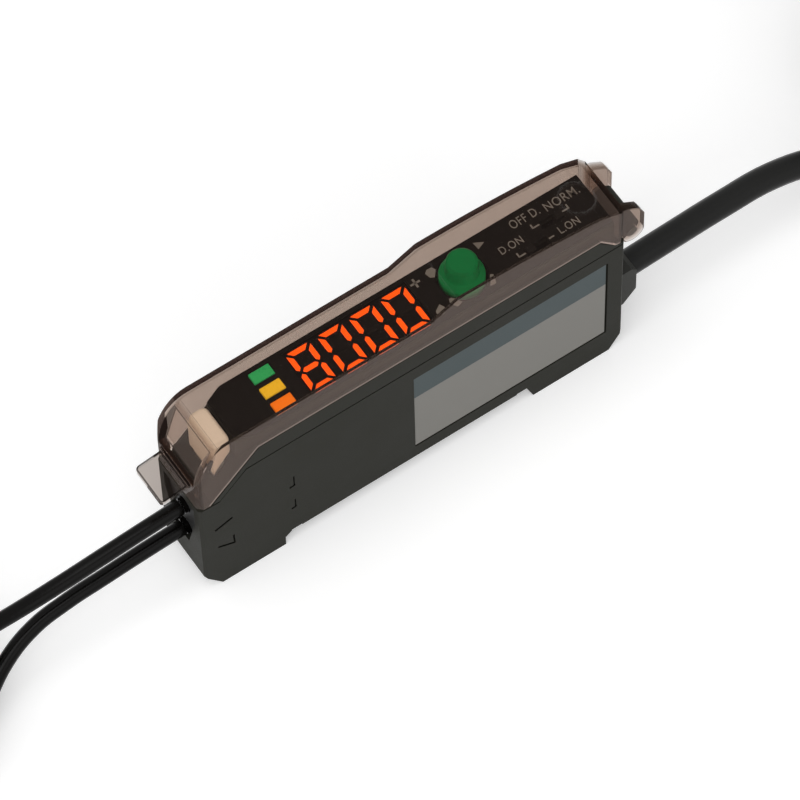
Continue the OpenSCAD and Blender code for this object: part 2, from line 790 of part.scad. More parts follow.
// Coil spring under the clamp
module clamp_spring() {
    wire_r = 0.18;
    mean_r = 0.55;
    turns = 4;
    steps = 10 * turns;
    rise = spring_h - 2 * wire_r - slip;
    color("#b8b8b8") at_fibre_end() translate([clamp_s + clamp_l / 2, 0, pocket_z + wire_r + fine])
        tube([for (k = [0 : steps])
            let (turn = 360 * turns * k / steps)
                [mean_r * cos(turn), mean_r * sin(turn), rise * k / steps]], wire_r, 6);
}

// Cover

// Roof line of the cover, moved in by a wall
function cover_roof(wall) = concat(
    [for (turn = [180 : -7.5 : 90])
        [nose_l + (nose_l - wall) * cos(turn), nose_z + (nose_h - wall) * sin(turn)]],
    [[ramp_s + wall / 4, low_z - wall], [ramp_s + ramp_l + wall / 4, high_z - wall]],
    [for (k = [0 : 6])
        let (s = crest_s + (break_s - crest_s) * k / 6)
            [s, high_z - wall - pow(s - crest_s, 2) / (2 * crown_r)]],
    [[body_l - wall, fall_z - wall / 2]]);

cover_tail = strip_tail + cover_gap;
cover_edge = [
    [body_l, case_h + cover_tail], [deck_end - slip, case_h + cover_tail + 2 * slip],
    [body_l - edge_drop_l + slip, edge_z], [edge_turn_s, edge_z], [edge_low_s, foot_z],
    [0, foot_z + cover_gap]];

// Slanted window in the nose, between the two side walls, and the lip below it
brow = [2.9, low_z - 1.2];
sill = [1, low_z - 7.4];
slope_in = cover_wall * unit([brow[1] - sill[1], sill[0] - brow[0]]);
rib = cover_wall + 0.2;
sill_step = 0.3;
lip_h = 0.8;
lip_out = 0.3;
lip_in = 0.4;
lip_z = [sill[1] - lip_h - 2 * slip, sill[1] - 2 * slip];

module cover_room() {
    intersection() {
        side_plate(concat([[cover_wall, 0]], cover_roof(cover_wall), [[body_l - cover_wall, 0]]),
            half_w - cover_wall);
        side_plate([[cover_wall, 0], [cover_wall, sill[1] + slope_in[1] - sill_step],
            sill + slope_in, brow + slope_in, [nose_l, low_z + past], [nose_l, high_z + past],
            [body_l, high_z + past], [body_l, 0]], half_w);
    }
}

module finger_tab() {
    tip = 0.6;
    droop = 0.7;
    root_s = 0.5;
    root_z = nose_z + slip;
    intersection() {
        side_plate([[-tab_reach, root_z - droop - tab_t], [root_s, root_z - tab_t], [root_s, root_z],
            [-tab_reach, root_z - droop]], tab_w / 2);
        translate([0, 0, root_z - tab_reach]) linear_extrude(2 * tab_reach) {
            translate([tip - tab_reach, -tab_w / 2]) square([tab_reach + root_s, tab_w]);
            translate([-tab_reach, tip - tab_w / 2]) square([tip, tab_w - 2 * tip]);
            for (side = [-1, 1]) translate([tip - tab_reach, side * (tab_w / 2 - tip)]) circle(tip);
        }
    }
}

// Lug: round at the pivot, straight up behind the cover, then leaning in to its end wall
module hinge_lug() {
    top = pivot_z + lug_rise;
    foot = case_h + cover_tail + fine;
    root = body_l - cover_wall / 2;
    lean_s = [0.9, 2.7];
    lean_z = [3.3, 1.4];
    side_plate([[root, foot], [pivot_s - lug_r, foot], [pivot_s - lug_r, pivot_z],
        [pivot_s + lug_r, pivot_z], [pivot_s + lug_r, top - lean_z[0]],
        [pivot_s + lug_r - lean_s[0], top - lean_z[1]], [pivot_s + lug_r - lean_s[1], top],
        [root, top + 2 * slip]], lug_t / 2);
    along_y(pivot_s, pivot_z, lug_r, lug_t / 2);
}

module cover() {
    color("#8a7f78", 0.45) at_fibre_end() difference() {
        union() {
            intersection() {
                side_plate(concat(cover_edge, cover_roof(0)), half_w);
                plan_prism(0, body_l, half_w, cover_corner, high_z + past);
            }
            finger_tab();
            block([-lip_out, lip_in], [rib + cover_corner - half_w, half_w - rib - cover_corner], lip_z);
            for (side = [-1, 1]) translate([0, side * (lug_gap + lug_t) / 2, 0]) hinge_lug();
        }
        cover_room();
        side_plate([[-past, sill[1]], sill, brow, [brow[0], high_z], [-past, high_z]], half_w - rib);
        along_y(pivot_s, pivot_z, pin_r + pin_clear, pin_half + slip);
    }
}

// Label and cable entry

module label_plate() {
    color("#7d7d78") at_fibre_end()
        block([label_s[0] + fine, label_s[1]], [fine - half_w, fine + label_t - half_w],
            [label_z[0], label_z[1] - fine]);
}

bush_neck_w = cable_d + 1.2;
bush_neck_h = cable_d + 3;

// Rubber bush: a block outside with a slanted lower edge, a neck in the wall and a flange inside
module cable_bush() {
    low = cable_z - cable_d / 2 - 2.6;
    high = cable_z + cable_d / 2 + 1.8;
    edge = 0.8;
    slant_s = 1.6;
    slant_z = [0.3, 2.6];
    flange_t = 1.15;
    flange_in = [1, 0.6];
    end = body_l + bush_reach;
    neck = [bush_neck_w / 2 - fine, bush_neck_h / 2 - fine];
    wall_s = body_l - case_wall - fine;
    color("#2e2e2c") at_fibre_end() difference() {
        union() {
            side_plate([[body_l, low], [body_l + slant_s, low + slant_z[0]], [end, low + slant_z[1]],
                [end, high - edge], [end - edge, high], [body_l, high]], bush_w / 2);
            block([wall_s - past, body_l + slip], [-neck[0], neck[0]],
                [cable_z - neck[1], cable_z + neck[1]]);
            block([wall_s - flange_t, wall_s], [-bush_w / 2, bush_w / 2],
                [low + flange_in[0], high - flange_in[1]]);
        }
        along_x([body_l - 2 * case_wall - past, body_l + bush_reach + past], cable_d / 2 + fine, cable_z);
    }
}

stub_s = main_board_s[1] + 1;

module cable_stub() {
    color("#161616") at_fibre_end() along_x([stub_s, body_l + bush_reach - cord_gap], cable_d / 2, cable_z);
}

// Four cores, soldered in pairs to both faces of the main board
module inner_cores() {
    core_r = 0.45;
    core_l = 5;
    spread = 0.6;
    color("#8a5a30") at_fibre_end()
        for (side = [-1, 1])
            for (level = [-1, 1])
                translate([0, side * (board_face + core_r + fine / 2), 0])
                    along_x([stub_s - core_l, stub_s], core_r, cable_z + level * spread);
}

// Cords: the routes' points, then the coils of what is wound up

coil_lift = 0.4;
coil_y = 5;
tie_t = 0.4;
tie_w = 3;

cable_exit = [fibre_end_x + body_l + bush_reach, 0, cable_z];
cable_lead = concat([cable_exit], [[44, 0, 9.9], [52, 0, 10.2], [60, -0.2, 10.2], [67, -1.4, 9.3],
    [74, -3.6, 7.3], [80, -6, 5], [86, -8.4, 3.1], [90.5, -9.8, 2.25]]);
cable_tail = [[90.5, -9.8, 24.5], [96, -9.7, 24.5], [102, -9.2, 24.5], [107, -8.7, 24.5],
    [112, -8.2, 24.5], [114, -8, 24.5]];
hank_x = [90.5, 130.5];
hank_turns = 2;
hank_layers = 6;
hank_r = 3 * cable_d;

lower_exit = [fibre_end_x, 0, fibre_z];
lower_lead = concat([lower_exit], [[-38, 0, 9.9], [-44, 0, 9.4], [-50, 0, 8.8], [-55, -0.3, 7.9],
    [-60, -1.7, 6.5], [-65, -4.5, 4.8], [-70, -7.6, 3.1], [-75, -10, 1.9], [-79.5, -10.8, 1.5]]);
lower_tail = [[-95.3, 5, 12.5], [-94.6, 9, 13], [-92.2, 12.6, 13.9], [-88.4, 15, 14.7], [-84, 15.8, 15.15]];

upper_exit = [fibre_end_x, 0, upper_z];
upper_lead = concat([upper_exit], [[-38, 0, 15.3], [-44, 0, 14.8], [-50, 0, 14.3], [-56, -0.1, 14.2],
    [-62, -0.4, 14.7], [-68, -1, 14.9], [-74, -1.9, 15], [-80, -3, 15], [-86, -4.3, 15], [-92, -5.9, 14.9],
    [-98, -7.6, 14.3], [-104, -9.3, 13.3], [-109, -10.4, 12.7], [-114, -10.8, 12.5]]);
upper_tail = [[-114, 20.8, 1.5], [-109, 20.7, 1.5], [-103.4, 20.3, 1.5]];

lower_coil_x = -79.5;
upper_coil_x = -114;
coil_turns = 4;
coil_layers = 6;
coil_r = 9.2;
head_l = 12;
head_d = 3;

module power_cable() {
    color("#161616") {
        tube(cable_lead, cable_d / 2);
        tube(cable_tail, cable_d / 2);
    }
}

// Outline of a turn of the hank at one radius
module hank_outline(r) {
    translate([hank_x[0], coil_y - r]) square([hank_x[1] - hank_x[0], 2 * r]);
    for (x = hank_x) translate([x, coil_y]) circle(r);
}

module power_cable_coil() {
    color("#161616") translate([0, 0, coil_lift]) linear_extrude(hank_layers * cable_d) difference() {
        hank_outline(hank_r + (hank_turns - 0.5) * cable_d);
        hank_outline(hank_r - cable_d / 2);
    }
}

// Band round a bundle: its middle, its width across and its height
module tie_band(x, y, width, height) {
    translate([x - tie_w / 2, y - width / 2 - tie_t, 0]) difference() {
        cube([tie_w, width + 2 * tie_t, height + 2 * tie_t]);
        translate([-past, tie_t, tie_t]) cube([tie_w + 2 * past, width, height]);
    }
}

module cable_ties() {
    run_y = hank_r + (hank_turns - 1) * cable_d / 2;
    near_x = 128.5;
    far_x = 97;
    color("#e6e6e0") {
        tie_band(near_x, coil_y - run_y, hank_turns * cable_d, hank_layers * cable_d);
        tie_band(far_x, coil_y + run_y, hank_turns * cable_d, hank_layers * cable_d);
    }
}

// Stripped end of the cable: four cores that lie on the hank
module cable_cores() {
    core_r = 0.5;
    core_l = 11;
    spread = 0.75;
    droop = 2;
    splay = 4;
    end = cable_tail[len(cable_tail) - 1] + [2 * cord_gap, 0, 0];
    color("#6b4a2c")
        for (side = [-1, 1])
            for (level = [-1, 1])
                translate(end + spread * [0, side, level])
                    rotate([0, 90 + droop, side * (splay + level)]) cylinder(r = core_r, h = core_l);
}

module fibre_coil(x) {
    translate([x, coil_y, coil_lift]) rotate_extrude()
        translate([coil_r - fibre_d / 2, 0]) square([coil_turns * fibre_d, coil_layers * fibre_d]);
}

// Threaded sensing head with a collar at the fibre and a bare tip
module fibre_head(at) {
    tip_l = 2;
    tip_d = 2.2;
    eye_d = 1;
    eye_h = 0.3;
    translate(at + [2 * cord_gap, 0, 0]) rotate([0, 90, 0]) difference() {
        union() {
            cylinder(d = head_d, h = head_l - tip_l);
            translate([0, 0, head_l - tip_l]) cylinder(d = tip_d, h = tip_l);
        }
        translate([0, 0, head_l - eye_h]) cylinder(d = eye_d, h = past);
    }
}

module lower_fibre() {
    color("#0c0c0c") {
        tube(lower_lead, fibre_d / 2);
        tube(lower_tail, fibre_d / 2);
    }
}

module upper_fibre() {
    color("#0c0c0c") {
        tube(upper_lead, fibre_d / 2);
        tube(upper_tail, fibre_d / 2);
    }
}

module lower_fibre_coil() { color("#0c0c0c") fibre_coil(lower_coil_x); }
module upper_fibre_coil() { color("#0c0c0c") fibre_coil(upper_coil_x); }
module lower_fibre_head() { color("#b9a26a") fibre_head(lower_tail[len(lower_tail) - 1]); }
module upper_fibre_head() { color("#b9a26a") fibre_head(upper_tail[len(upper_tail) - 1]); }

module fibre_ties() {
    middle_r = coil_r + (coil_turns - 1) * fibre_d / 2;
    ease = 0.2;
    color("#e6e6e0")
        for (place = [[lower_coil_x + middle_r, coil_y], [upper_coil_x - middle_r, coil_y]])
            translate(place) rotate(90)
                tie_band(0, 0, coil_turns * fibre_d + 2 * ease, coil_layers * fibre_d);
}

lower_case();
upper_frame();
panel_sheet();
display_window();
display_module();
digit_bars();
unlit_bars();
indicator_green();
indicator_yellow();
indicator_orange();
display_board();
main_board();
board_header();
controller_chip();
supply_capacitor();
output_transistor();
jog_switch_base();
jog_rocker();
jog_knob();
mode_switch_case();
mode_slider();
timer_switch_case();
timer_slider();
fibre_holder();
fibre_tips();
emitter_diode();
receiver_diode();
lock_button();
fibre_clamp();
clamp_spring();
cover();
label_plate();
cable_bush();
cable_stub();
inner_cores();
power_cable();
power_cable_coil();
cable_ties();
cable_cores();
lower_fibre();
lower_fibre_coil();
lower_fibre_head();
upper_fibre();
upper_fibre_coil();
upper_fibre_head();
fibre_ties();
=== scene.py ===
import math

import bmesh
import bpy
from mathutils import Matrix, Vector


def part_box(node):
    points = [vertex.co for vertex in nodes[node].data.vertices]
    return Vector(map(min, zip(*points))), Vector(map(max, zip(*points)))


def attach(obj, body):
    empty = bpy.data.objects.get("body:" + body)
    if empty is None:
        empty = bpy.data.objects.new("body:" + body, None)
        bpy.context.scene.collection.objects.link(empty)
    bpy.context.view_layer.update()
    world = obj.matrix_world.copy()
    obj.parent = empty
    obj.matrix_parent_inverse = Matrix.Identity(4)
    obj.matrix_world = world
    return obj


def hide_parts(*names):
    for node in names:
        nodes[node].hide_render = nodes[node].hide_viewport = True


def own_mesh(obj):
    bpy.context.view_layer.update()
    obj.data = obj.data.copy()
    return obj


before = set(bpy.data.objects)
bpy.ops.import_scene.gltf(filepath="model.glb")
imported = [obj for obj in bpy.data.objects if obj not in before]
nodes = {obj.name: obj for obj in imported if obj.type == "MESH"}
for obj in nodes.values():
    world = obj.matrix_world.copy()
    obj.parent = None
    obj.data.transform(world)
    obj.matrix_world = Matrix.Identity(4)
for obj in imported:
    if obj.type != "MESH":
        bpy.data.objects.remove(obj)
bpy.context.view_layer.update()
mm = 0.001

# Camera: a long lens about three quarters of a metre away, above the fibre end and on the side of
# the label, looking down on the panel and leaning a little to one side.
photo_sensor = 36
photo_lens = 255.8
photo_place = (-0.188275, -0.299276, 0.649984)
photo_turn = (28.9231, 0.9266, -34.0103)
camera = bpy.data.objects.new("photo_camera", bpy.data.cameras.new("photo_camera"))
camera.data.sensor_width = photo_sensor
camera.data.lens = photo_lens
camera.data.clip_start = 0.05
camera.data.clip_end = 20
camera.location = photo_place
camera.rotation_euler = [math.radians(angle) for angle in photo_turn]
bpy.context.scene.collection.objects.link(camera)
bpy.context.scene.camera = camera

# Studio: a pale sheet on the table, a wide softbox overhead and two broad fills at the sides.
# Sheet and room read white to the eye and in the gloss, and the sheet keeps the soft shadow.
sheet_size = 3
sheet_drop = 0.02 * mm
sheet_white = 0.86
sheet_glow = 0.32
room_light = 0.42
softboxes = {
    "overhead_softbox": ((-0.35, -0.1, 0.95), 0.8, 4.8),
    "label_side_fill": ((-0.15, -0.95, 0.5), 0.9, 2.4),
    "fibre_end_fill": ((-1.0, -0.2, 0.45), 0.7, 1.6),
}
lamp_aim = Vector((0, 0, 0.02))


def put(tree, kind, inputs=(), **options):
    """Adds a shader node with its options; inputs are pairs of a socket and a value or a link."""
    node = tree.nodes.new(kind)
    for option, value in options.items():
        setattr(node, option, value)
    for socket, value in inputs:
        if isinstance(value, bpy.types.NodeSocket):
            tree.links.new(value, node.inputs[socket])
        else:
            node.inputs[socket].default_value = value
    return node


def reckon(tree, operation, *values):
    """The result of a Math node."""
    return put(tree, "ShaderNodeMath", list(enumerate(values)), operation=operation).outputs[0]


def eye_share(tree):
    """1 for a ray that shows in the picture, straight, mirrored or bent, and 0 for one that only lights."""
    path = put(tree, "ShaderNodeLightPath")
    unbent = reckon(tree, "MAXIMUM", path.outputs["Is Camera Ray"], path.outputs["Is Glossy Ray"])
    return reckon(tree, "MAXIMUM", unbent, path.outputs["Is Transmission Ray"])


def new_finish(name):
    """A material with its node tree and Principled shader."""
    finish = bpy.data.materials.new(name)
    finish.use_nodes = True
    return finish, finish.node_tree, finish.node_tree.nodes["Principled BSDF"]


scene = bpy.context.scene
scene.view_settings.view_transform = "Standard"
sheet_shape = bmesh.new()
bmesh.ops.create_grid(sheet_shape, x_segments=1, y_segments=1, size=sheet_size / 2)
bmesh.ops.translate(sheet_shape, verts=sheet_shape.verts, vec=(0, 0, -sheet_drop))
sheet_mesh = bpy.data.meshes.new("table_sheet")
sheet_shape.to_mesh(sheet_mesh)
sheet_shape.free()
table_sheet = bpy.data.objects.new("table_sheet", sheet_mesh)
scene.collection.objects.link(table_sheet)
sheet_paper, tree, shader = new_finish("sheet_paper")
shader.inputs["Base Color"].default_value = (sheet_white, sheet_white, sheet_white, 1)
shader.inputs["Roughness"].default_value = 0.7
shader.inputs["Emission Color"].default_value = (1, 1, 1, 1)
tree.links.new(reckon(tree, "MULTIPLY", eye_share(tree), sheet_glow), shader.inputs["Emission Strength"])
table_sheet.data.materials.append(sheet_paper)

room = bpy.data.worlds.new("studio_room")
scene.world = room
room.use_nodes = True
tree = room.node_tree
level = put(tree, "ShaderNodeMapRange", [(0, eye_share(tree)), ("To Min", room_light), ("To Max", 1.0)])
tree.links.new(level.outputs[0], tree.nodes["Background"].inputs["Strength"])
tree.nodes["Background"].inputs["Color"].default_value = (1, 1, 1, 1)

for name, (place, size, watts) in softboxes.items():
    lamp = bpy.data.objects.new(name, bpy.data.lights.new(name, "AREA"))
    lamp.data.size = size
    lamp.data.energy = watts
    lamp.visible_transmission = False
    lamp.location = place
    lamp.rotation_euler = (lamp_aim - Vector(place)).to_track_quat("-Z", "Y").to_euler()
    scene.collection.objects.link(lamp)

# Lower case: a tub of dark grey plastic, injection moulded with a fine spark-eroded texture.
# The rail slot is in its base, the fibre catches are cut into its sides, and it carries all the rest.


def paint(red, green, blue):
    """A colour on the 0 to 255 scale of a colour card, as the linear values that shaders take."""
    shares = [part / 255 for part in (red, green, blue)]
    return [s / 12.92 if s <= 0.04045 else ((s + 0.055) / 1.055) ** 2.4 for s in shares] + [1]


cloud_scale, noise_middle = 120, 0.5
grain = bpy.data.node_groups.new("Moulded Grain", "ShaderNodeTree")
for socket, kind in (("Colour", "Color"), ("Tone Spread", "Float"), ("Roughness", "Float"),
                     ("Gloss Spread", "Float"), ("Grain Size", "Float")):
    grain.interface.new_socket(name=socket, in_out="INPUT", socket_type="NodeSocket" + kind)
for socket, kind in (("Colour", "Color"), ("Roughness", "Float"), ("Height", "Float")):
    grain.interface.new_socket(name=socket, in_out="OUTPUT", socket_type="NodeSocket" + kind)
given = put(grain, "NodeGroupInput")
spot = put(grain, "ShaderNodeTexCoord").outputs["Object"]
fineness = reckon(grain, "DIVIDE", 1, given.outputs["Grain Size"])
pits = put(grain, "ShaderNodeTexNoise", [("Vector", spot), ("Scale", fineness), ("Detail", 2)]).outputs[0]
clouds = put(grain, "ShaderNodeTexNoise",
             [("Vector", spot), ("Scale", cloud_scale), ("Detail", 3)]).outputs[0]
cloud_swing = reckon(grain, "SUBTRACT", clouds, noise_middle)
pit_swing = reckon(grain, "SUBTRACT", pits, noise_middle)
swing = reckon(grain, "ADD", cloud_swing, pit_swing)
tone = reckon(grain, "MULTIPLY_ADD", swing, given.outputs["Tone Spread"], 1)
toned = put(grain, "ShaderNodeVectorMath", [(0, given.outputs["Colour"]), ("Scale", tone)], operation="SCALE")
gloss = reckon(grain, "MULTIPLY_ADD", swing, given.outputs["Gloss Spread"], given.outputs["Roughness"])
put(grain, "NodeGroupOutput", [("Colour", toned.outputs[0]), ("Roughness", gloss), ("Height", pits)])


def moulded(name, colour, roughness, grain_size=0.16, depth=0.01, tone=0.3, gloss=0.2, sheen=0.22):
    """A moulded finish: its colour and gloss drift a little, over a fine texture in millimetres."""
    finish, tree, shader = new_finish(name)
    shader.inputs["Specular IOR Level"].default_value = sheen
    texture = put(tree, "ShaderNodeGroup",
                  [("Colour", colour), ("Tone Spread", tone), ("Roughness", roughness),
                   ("Gloss Spread", gloss), ("Grain Size", grain_size * mm)],
                  node_tree=grain, name="moulded_grain")
    bump = put(tree, "ShaderNodeBump", [("Distance", depth * mm), ("Height", texture.outputs["Height"])])
    tree.links.new(texture.outputs["Colour"], shader.inputs["Base Color"])
    tree.links.new(texture.outputs["Roughness"], shader.inputs["Roughness"])
    tree.links.new(bump.outputs["Normal"], shader.inputs["Normal"])
    return finish


weld_gap = 0.001
flat_angle, sharp_angle = 0.5, 28


def welded(node):
    """A copy of a CAD node's solid with its double points merged."""
    shape = bmesh.new()
    shape.from_mesh(nodes[node].data)
    bmesh.ops.remove_doubles(shape, verts=shape.verts, dist=weld_gap * mm)
    return shape


def round_edges(shape, edges, radius, segments, clamp=False):
    """Rounds edges to a radius in millimetres and gives the new faces."""
    return bmesh.ops.bevel(shape, geom=edges, offset=radius * mm, affect="EDGES", segments=segments,
                           profile=0.5, material=-1, clamp_overlap=clamp)["faces"]


def softened(node, radius, segments=2, least_l=0):
    """A CAD node's solid with its sharp edges rounded to a radius and marked; lengths in millimetres."""
    shape = welded(node)
    bmesh.ops.dissolve_limit(shape, angle_limit=math.radians(flat_angle), verts=shape.verts,
                             edges=shape.edges)
    sharp = [edge for edge in shape.edges
             if edge.is_manifold and edge.calc_face_angle() > math.radians(sharp_angle)
             and edge.calc_length() > least_l * mm]
    rounded = round_edges(shape, sharp, radius, segments, clamp=True)
    for face in shape.faces:
        face.select = face in rounded
    return shape


def add_piece(name, shape, finish, body, smooth_angle=35):
    """Links a finished shape as a piece that rides on a body and takes its finish from a slot."""
    mesh = bpy.data.meshes.new(name)
    shape.to_mesh(mesh)
    shape.free()
    mesh.shade_smooth()
    mesh.set_sharp_from_angle(angle=math.radians(smooth_angle))
    mesh.materials.append(finish)
    piece = bpy.data.objects.new(name, mesh)
    scene.collection.objects.link(piece)
    flats = piece.modifiers.new("level_flats", "WEIGHTED_NORMAL")
    flats.keep_sharp = True
    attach(piece, body)
    return piece


case_grey = moulded("case_grey_moulded", paint(42, 42, 37), 0.5, sheen=0.05)
case_shell = add_piece("case_shell", softened("lower_case", 0.1), case_grey, "base")
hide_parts("lower_case")

# Boards: an upright main board and a level display board of green glass epoxy, with the header
# between them and the parts soldered to the main board, all closed in by the case and the frame.


def dress(finish, *names):
    """Gives carried-over CAD nodes a finish."""
    for name in names:
        nodes[name].material_slots[0].material = finish


solder_mask = moulded("solder_mask_green", paint(40, 92, 58), 0.35, grain_size=0.6, depth=0.02, tone=0.6)
chip_epoxy = moulded("chip_epoxy", paint(34, 34, 34), 0.55)
dress(solder_mask, "display_board", "main_board")
dress(chip_epoxy, "board_header", "controller_chip", "output_transistor")
dress(moulded("capacitor_tantalum", paint(190, 130, 40), 0.45), "supply_capacitor")

# Fibre holder: a black block in the fibre end of the case with a bore for each fibre, a diode in a
# plated can behind each bore, and a sprung clamp across both that the lock button pushes down.
holder_black = moulded("holder_black", paint(40, 40, 40), 0.5)
dress(holder_black, "fibre_holder")
dress(moulded("clamp_grey", paint(138, 138, 132), 0.45), "fibre_clamp")


def plated(name, colour, roughness):
    """A plain metal whose gloss drifts along its surface."""
    finish = moulded(name, colour, roughness, grain_size=0.35, depth=0.002, tone=0.12, gloss=0.25)
    shader = finish.node_tree.nodes["Principled BSDF"]
    shader.inputs["Metallic"].default_value = 1
    shader.inputs["Specular IOR Level"].default_value = 0.5
    return finish


dress(plated("diode_can", paint(202, 198, 188), 0.28), "emitter_diode", "receiver_diode")
spring_wire = plated("spring_wire", paint(190, 190, 190), 0.25)
low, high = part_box("clamp_spring")
spring_coil = add_piece("spring_coil", welded("clamp_spring"), spring_wire, "base")
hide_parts("clamp_spring")
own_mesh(spring_coil)

# Upper frame: the same grey plastic, snapped over the tub along the slanting joint line. Its deck
# stands in from the sides by the wall of the cover, and carries the panel.
frame_rim = add_piece("frame_rim", softened("upper_frame", 0.08), case_grey, "base")
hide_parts("upper_frame")

# Display: a black block with four digits of seven bars each, moulded flush in its top. The lit
# bars glow orange through a tinted window that is glued into the opening of the panel.
dress(moulded("display_black", paint(10, 10, 10), 0.4, sheen=0.05), "display_module")


def lit(name, colour, strength):
    """A translucent moulding that glows in its own colour."""
    finish = moulded(name, colour, 0.3, grain_size=0.3, depth=0.004, tone=0.12)
    tree = finish.node_tree
    shader = tree.nodes["Principled BSDF"]
    tree.links.new(tree.nodes["moulded_grain"].outputs["Colour"], shader.inputs["Emission Color"])
    shader.inputs["Emission Strength"].default_value = strength
    finish.cycles.emission_sampling = "NONE"
    return finish


def clear(name, tint, refraction, depth, gleam=0):
    """Clear polished plastic that takes its tint over a depth in millimetres and lets the lamps through."""
    finish, tree, shader = new_finish(name)
    shader.inputs["Base Color"].default_value = (1, 1, 1, 1)
    shader.inputs["Roughness"].default_value = 0
    shader.inputs["IOR"].default_value = refraction
    shader.inputs["Transmission Weight"].default_value = 1
    shader.inputs["Specular Tint"].default_value = (gleam, gleam, gleam, 1)
    passing = put(tree, "ShaderNodeBsdfTransparent")
    path = put(tree, "ShaderNodeLightPath")
    mixed = put(tree, "ShaderNodeMixShader",
                [(0, path.outputs["Is Shadow Ray"]), (1, shader.outputs[0]), (2, passing.outputs[0])])
    output = tree.nodes["Material Output"]
    tree.links.new(mixed.outputs[0], output.inputs["Surface"])
    loss = [-math.log(share) for share in tint]
    density = max(loss) / (depth * mm)
    held = [1 - part / max(loss) for part in loss] + [1]
    smoke = put(tree, "ShaderNodeVolumeAbsorption", [("Color", held), ("Density", density)])
    tree.links.new(smoke.outputs[0], output.inputs["Volume"])
    return finish


dress(lit("digit_orange", paint(255, 92, 4), 1.22), "digit_bars")
dress(moulded("bar_unlit", paint(20, 18, 17), 0.4, sheen=0.05), "unlit_bars")
dress(clear("window_film", tint=(0.92, 0.86, 0.84), refraction=1.2, depth=0.25, gleam=0.1), "display_window")

# Indicators: three light guides of tinted plastic, set side by side through the deck and the panel.
# Each carries the light of a diode on the display board up to a flat lens.
for name, colour, strength in (("indicator_green", paint(40, 164, 90), 0.46),
                               ("indicator_yellow", paint(236, 188, 34), 0.44),
                               ("indicator_orange", paint(250, 122, 2), 0.42)):
    lens = add_piece(name + "_lens", softened(name, 0.12), lit(name + "_glow", colour, strength), "base")
    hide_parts(name)

# Panel sheet: black polyester, printed on its face and stuck to the deck. The print is pale grey:
# plain words at the two switches, a plus sign, and pointers round the knob.
panel_print = moulded("panel_print_black", paint(16, 15, 14), 0.42, grain_size=0.12, depth=0.003, sheen=0.05)
dress(panel_print, "panel_sheet")
fibre_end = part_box("lower_case")[0].x
panel_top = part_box("panel_sheet")[1].z
ink_height = 0.015
ink_grey = moulded("ink_grey", paint(130, 128, 122), 0.5, grain_size=0.08, depth=0.002, tone=0.5)


def on_panel(along, across):
    """A point of the print: millimetres from the fibre end, and across from the middle."""
    return Vector((fibre_end + along * mm, across * mm, panel_top + ink_height * mm))


def print_words(name, words, start, length, height):
    """Printed words that start at a point of the panel, with their length and height in millimetres."""
    letters = bpy.data.curves.new(name, "FONT")
    letters.body = words
    letters.offset = 0.004
    letters.space_character = 1.1
    carrier = bpy.data.objects.new(name, letters)
    shape = bmesh.new()
    shape.from_mesh(carrier.to_mesh())
    carrier.to_mesh_clear()
    bpy.data.objects.remove(carrier)
    low = Vector([min(v.co[axis] for v in shape.verts) for axis in range(3)])
    high = Vector([max(v.co[axis] for v in shape.verts) for axis in range(3)])
    bmesh.ops.translate(shape, verts=shape.verts, vec=-low)
    bmesh.ops.scale(shape, verts=shape.verts,
                    vec=(length * mm / (high.x - low.x), height * mm / (high.y - low.y), 1))
    bmesh.ops.translate(shape, verts=shape.verts, vec=on_panel(*start))
    return add_piece(name, shape, ink_grey, "base")


print_words("legend_off_delay", "OFF D.", (52.3, 1.9), 4.3, 1.3)
print_words("legend_normal", "NORM.", (57.4, 1.6), 5.1, 1.3)
print_words("legend_dark_on", "D.ON", (49.1, -0.4), 3.4, 1.15)
print_words("legend_light_on", "L.ON", (57.0, -2.1), 3.0, 1.15)


def print_marks(name, *outlines):
    """Printed marks, each an outline of points on the panel."""
    shape = bmesh.new()
    for outline in outlines:
        shape.faces.new([shape.verts.new(on_panel(*point)) for point in outline])
    bmesh.ops.recalc_face_normals(shape, faces=shape.faces)
    return add_piece(name, shape, ink_grey, "base")


def line_mark(start, end, width):
    """Outline of a straight printed line."""
    start, end = Vector(start), Vector(end)
    side = (end - start).orthogonal().normalized() * width / 2
    return start + side, end + side, end - side, start - side


leader_w = 0.22
leader_ends = (((54.5, 1.25), (54.5, 0.55)), ((54.5, 0.65), (55.5, 0.65)),
               ((59.9, 1.2), (59.9, 0.45)), ((58.9, 0.55), (59.9, 0.55)),
               ((50.7, -1.2), (50.7, -1.95)), ((50.7, -1.85), (51.7, -1.85)),
               ((55.3, -1.75), (56.1, -1.75)))
print_marks("leader_lines", *(line_mark(start, end, leader_w) for start, end in leader_ends))
plus_at, plus_reach, plus_w = Vector((37.75, 2.44)), 0.7, 0.3
plus_arms = (Vector((plus_reach, 0)), Vector((0, plus_reach)))
print_marks("plus_sign", *(line_mark(plus_at - arm, plus_at + arm, plus_w) for arm in plus_arms))
print_marks("knob_pointers", ((47.0, 3.2), (48.3, 2.5), (47.1, 2.0)),
            ((40.0, 3.25), (40.75, 3.2), (41.0, 2.65), (40.3, 1.75), (39.75, 2.0), (39.55, 2.85)),
            ((38.55, -1.8), (38.9, -2.6), (38.3, -3.1), (37.5, -2.9), (37.6, -2.4)),
            ((39.95, -1.85), (40.3, -1.85), (41.2, -2.95), (40.3, -3.25), (39.75, -2.4)),
            ((46.25, -1.8), (46.6, -2.05), (46.2, -3.15), (45.3, -3.1)))

